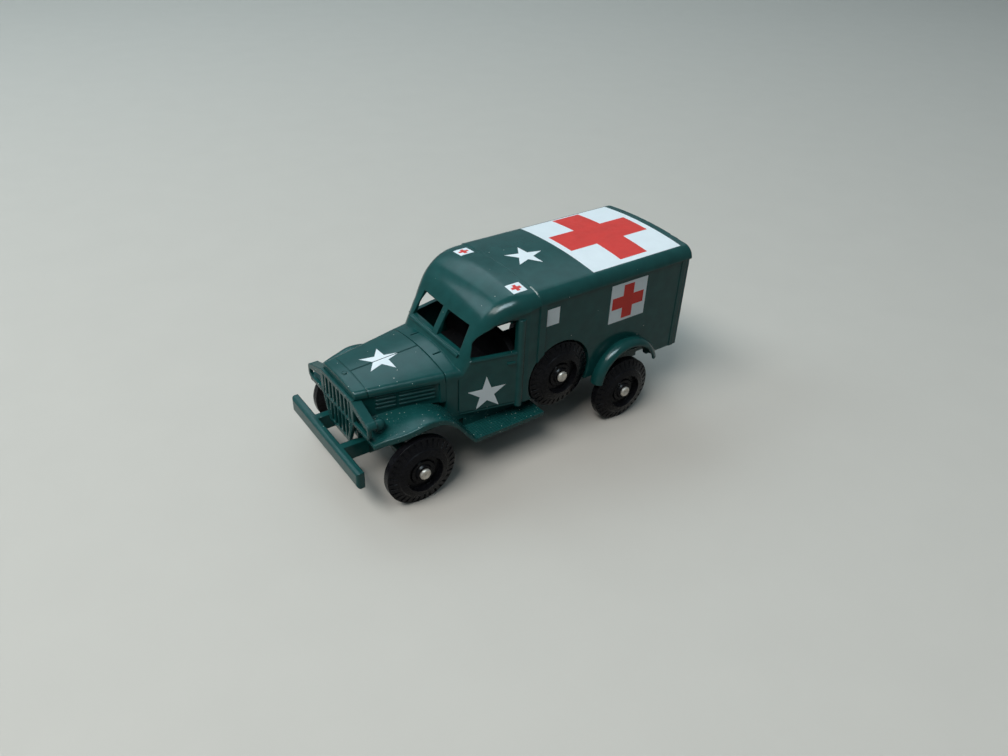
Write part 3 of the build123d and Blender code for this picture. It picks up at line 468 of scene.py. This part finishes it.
def star(radius, turn):
    """Outline of a star; turn is the first point's direction in degrees."""
    points = []
    for i in range(2 * STAR_POINTS):
        reach = radius if i % 2 == 0 else radius * STAR_WAIST
        angle = math.radians(turn + 180 / STAR_POINTS * i)
        points.append((reach * math.cos(angle), reach * math.sin(angle)))
    return points


def cross(reach_u, reach_v, half_u, half_v):
    """Outline of a cross: reach along each way, and half the width of its bars."""
    quarter = [(reach_u, half_v), (half_u, half_v), (half_u, reach_v)]
    other = [(-u, v) for u, v in reversed(quarter)]
    upper = quarter + other
    return upper + [(-u, -v) for u, v in upper]


def rectangle(half_u, half_v):
    return [(half_u, half_v), (-half_u, half_v), (-half_u, -half_v), (half_u, -half_v)]


def sliced(mesh, axis, places):
    """Cuts a flat mesh along lines across one of its axes."""
    normal = Vector((1, 0, 0)) if axis == 0 else Vector((0, 1, 0))
    for place in places:
        geometry = mesh.verts[:] + mesh.edges[:] + mesh.faces[:]
        bmesh.ops.bisect_plane(mesh, geom=geometry, dist=1e-7, plane_co=normal * place, plane_no=normal)


def flat_print(points, middle, seam_half):
    """Flat mesh of a printed area, cut finely enough to follow the body, and parted along the seam.

    middle is the area's place across the truck, where the seam runs at 0.
    """
    mesh = bmesh.new()
    mesh.faces.new([mesh.verts.new((u, v, 0)) for u, v in points])
    mesh.normal_update()
    bmesh.ops.triangulate(mesh, faces=mesh.faces[:], ngon_method="EAR_CLIP")
    for axis in (0, 1):
        values = [point[axis] for point in points]
        low, count = min(values), math.ceil((max(values) - min(values)) / PRINT_STEP)
        sliced(mesh, axis, [low + PRINT_STEP * i for i in range(1, count)])
    if seam_half:
        sliced(mesh, 1, (-middle - seam_half, -middle + seam_half))
        inside = [f for f in mesh.faces if abs(f.calc_center_median().y + middle) < seam_half]
        bmesh.ops.delete(mesh, geom=inside, context="FACES")
    return mesh


def lay_on_body(mesh, centre, view, lift):
    """Moves a flat mesh in millimetres onto the body along the way it faces."""
    facing = {"top": Vector((0, 0, 1)), "left": Vector((0, 1, 0)), "right": Vector((0, -1, 0))}[view]
    along_v = Vector((0, 1, 0)) if view == "top" else Vector((0, 0, 1))
    for vertex in mesh.verts:
        flat = Vector((1, 0, 0)) * (centre[0] + vertex.co.x) + along_v * (centre[1] + vertex.co.y)
        place, normal, _, _ = PRINT_GROUND.ray_cast((flat + facing * RAY_START) * MM, -facing)
        vertex.co = place + normal * lift * MM
    bmesh.ops.recalc_face_normals(mesh, faces=mesh.faces[:])
    if sum(f.normal.dot(facing) for f in mesh.faces) < 0:
        bmesh.ops.reverse_faces(mesh, faces=mesh.faces[:])


def thicken(piece, depth):
    """Gives a thin sheet its thickness, inwards."""
    thick = piece.modifiers.new("thickness", "SOLIDIFY")
    thick.thickness = depth * MM
    thick.offset = -1
    bpy.context.view_layer.update()
    solid = bpy.data.meshes.new_from_object(piece.evaluated_get(bpy.context.evaluated_depsgraph_get()))
    piece.modifiers.clear()
    piece.data = solid


def printed(name, points, centre, view, paint, layer=1, seam_half=0.0):
    """Thin printed area laid on the body. view is the way it faces: "top", "left" or "right"."""
    mesh = flat_print(points, centre[1], seam_half)
    lay_on_body(mesh, centre, view, PRINT_LIFT * layer)
    data = bpy.data.meshes.new(name)
    mesh.to_mesh(data)
    mesh.free()
    data.shade_smooth()
    piece = bpy.data.objects.new(name, data)
    bpy.context.scene.collection.objects.link(piece)
    thicken(piece, PRINT_THICK * layer)
    piece.data.set_sharp_from_angle(angle=math.radians(PRINT_SHARP))
    piece.data.materials.clear()
    piece.data.materials.append(paint)
    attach(piece, BODY)


def print_markings():
    """Stars, white panels and crosses, in the places and sizes of the toy's own."""
    white = print_paint("print_white", WHITE_PRINT, shade=0.95)
    red = print_paint("print_red", RED_PRINT, shade=0.88)
    seam_wear_highlight = print_paint("seam_wear_and_highlight", SEAM_WEAR_AND_HIGHLIGHT, shade=0.6)
    # painted highlight over the shade of the cab-to-box roof step, partly worn paint at its near end
    printed("roof_seam_wear_and_highlight", rectangle(0.13, 1.5), (0.42, 14.4), "top", seam_wear_highlight)
    printed("star_bonnet", star(5.0, 180), (33.4, 0.0), "top", white, seam_half=BONNET_SEAM_HALF)
    printed("star_roof", star(5.15, 183), (-7.4, 0.4), "top", white)
    printed("panel_roof", rectangle(14.75, 14.9), (-32.05, 0.0), "top", white)
    printed("cross_roof", cross(12.95, 13.75, 4.5, 4.65), (-32.0, -0.55), "top", red, layer=2)
    for side, y in (("right", -10.4), ("left", 11.8)):
        printed("square_roof_" + side, rectangle(1.95, 1.85), (3.65, y), "top", white)
        printed("cross_small_" + side, cross(1.3, 1.2, 0.45, 0.42), (3.65, y), "top", red, layer=2)
    for view, _ in SIDES:
        printed("star_door_" + view, star(4.95, 88), (13.2, 19.9), view, white)
        printed("panel_side_" + view, rectangle(6.0, 5.4), (-27.93, 34.6), view, white)
        printed("cross_side_" + view, cross(5.2, 4.7, 1.7, 1.65), (-27.8, 34.6), view, red, layer=2)
        printed("sign_side_" + view, rectangle(2.0, 2.25), (-3.6, 37.05), view, white)


def place_camera():
    """Camera at the photograph's own viewpoint."""
    azimuth, drop, roll = (math.radians(v) for v in (CAMERA_AZIMUTH, CAMERA_DROP, CAMERA_ROLL))
    level_share = math.cos(drop)
    forward = Vector((math.cos(azimuth) * level_share, math.sin(azimuth) * level_share, -math.sin(drop)))
    level = Vector((math.sin(azimuth), -math.cos(azimuth), 0.0))
    down = forward.cross(level)
    right = level * math.cos(roll) + down * math.sin(roll)
    below = down * math.cos(roll) - level * math.sin(roll)
    data = bpy.data.cameras.new("photo_camera")
    data.sensor_fit = "HORIZONTAL"
    data.sensor_width = SENSOR_MM
    data.lens = FOCAL_PX * SENSOR_MM / IMAGE_WIDTH_PX
    data.clip_start = CAMERA_NEAR
    data.clip_end = CAMERA_FAR
    camera = bpy.data.objects.new("photo_camera", data)
    bpy.context.scene.collection.objects.link(camera)
    turn = Matrix((right, -below, -forward)).transposed().to_4x4()
    camera.matrix_world = Matrix.Translation(Vector(CAMERA_MM) * MM) @ turn
    bpy.context.scene.camera = camera


def add_area_light(name, place, size, power, tint, shine_only):
    """Soft box aimed at the toy. With shine_only it shows in the paint's shine and lights nothing else."""
    data = bpy.data.lights.new(name, "AREA")
    data.shape = "RECTANGLE"
    data.size, data.size_y = size
    data.energy = power
    data.color = tint
    lamp = bpy.data.objects.new(name, data)
    bpy.context.scene.collection.objects.link(lamp)
    lamp.location = place
    lamp.rotation_euler = (AIM - Vector(place)).to_track_quat("-Z", "Y").to_euler()
    lamp.visible_diffuse = not shine_only


def seen_rays(tree):
    """Mask that is 1 where the camera, a reflection or glass looks, and 0 for diffuse light."""
    rays = tree.nodes.new("ShaderNodeLightPath").outputs
    seen = rays["Is Camera Ray"]
    for kind in ("Is Glossy Ray", "Is Transmission Ray"):
        either = tree.nodes.new("ShaderNodeMath")
        either.operation = "MAXIMUM"
        tree.links.new(seen, either.inputs[0])
        tree.links.new(rays[kind], either.inputs[1])
        seen = either.outputs[0]
    return seen


def light_scene():
    """Plain soft studio light, with a pale backdrop."""
    world = bpy.data.worlds.new("studio")
    bpy.context.scene.world = world
    world.use_nodes = True
    tree = world.node_tree
    split = tree.nodes.new("ShaderNodeSeparateXYZ")
    tree.links.new(tree.nodes.new("ShaderNodeTexCoord").outputs["Generated"], split.inputs["Vector"])
    low, high = (scaled(SKY_TINT, gain=share) for share in SKY_SHARES)
    sky = ramp(tree, split.outputs["Z"], *SKY_RISE, low, high)
    backdrop = ramp(tree, split.outputs["Z"], *BACKDROP_RISE, BACKDROP_LOW, BACKDROP_HIGH)
    tree.links.new(mixed(tree, seen_rays(tree), sky, backdrop), tree.nodes["Background"].inputs["Color"])
    for lamp in LAMPS:
        add_area_light(*lamp)


def make_floor():
    """Pale floor under the wheels."""
    mesh = bpy.data.meshes.new("floor")
    corners = [(x, y, 0) for x, y in rectangle(FLOOR_HALF, FLOOR_HALF)]
    mesh.from_pydata(corners, [], [(0, 1, 2, 3)])
    floor = bpy.data.objects.new("floor", mesh)
    bpy.context.scene.collection.objects.link(floor)
    material, tree, shader = new_material("floor_pale")
    dim = scaled(FLOOR_PALE, gain=0.98)
    pale = ramp(tree, noise(tree, scale=60.0), low=0.3, high=0.7, first=dim, last=FLOOR_PALE)
    tree.links.new(mixed(tree, seen_rays(tree), FLOOR_BOUNCE, pale), shader.inputs["Base Color"])
    shader.inputs["Roughness"].default_value = 0.75
    shader.inputs["Specular IOR Level"].default_value = 0.2
    mesh.materials.append(material)


FINISHES = make_finishes()
paint_nodes(FINISHES)
for side_name, side_sign in SIDES:
    make_front_fender(side_name, side_sign, FINISHES["front_fender"])
    make_headlamp(side_name, side_sign, FINISHES["headlight"])
print_markings()
place_camera()
light_scene()
make_floor()
bpy.context.scene.view_settings.view_transform = "Standard"
